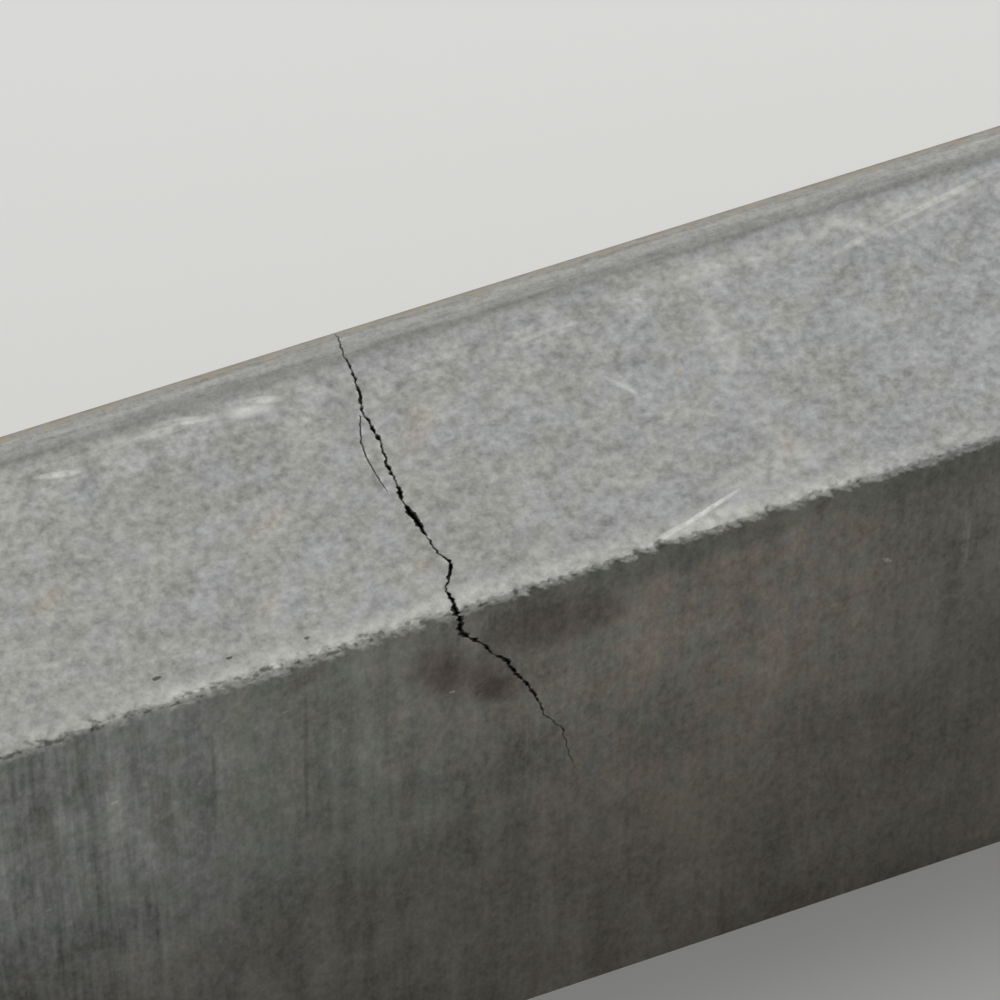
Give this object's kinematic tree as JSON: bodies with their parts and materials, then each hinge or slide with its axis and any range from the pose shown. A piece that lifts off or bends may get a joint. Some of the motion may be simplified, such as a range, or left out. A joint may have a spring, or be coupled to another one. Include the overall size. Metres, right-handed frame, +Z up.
{
  "type": "concrete kerb stone",
  "caption": "Straight concrete kerb stone with a square front arris, a rounded back edge and a crack across its top and down its face.",
  "frame": {"origin": "middle of the base, on the ground", "axes": "+X along the stone, +Y across it from the plumb front face to the rounded back edge, +Z up"},
  "size_m": [1, 0.15, 0.3],
  "materials": {
    "concrete": "matte"
  },
  "bodies": {
    "root": {"kerb_stone": "concrete"}
  },
  "joints": []
}
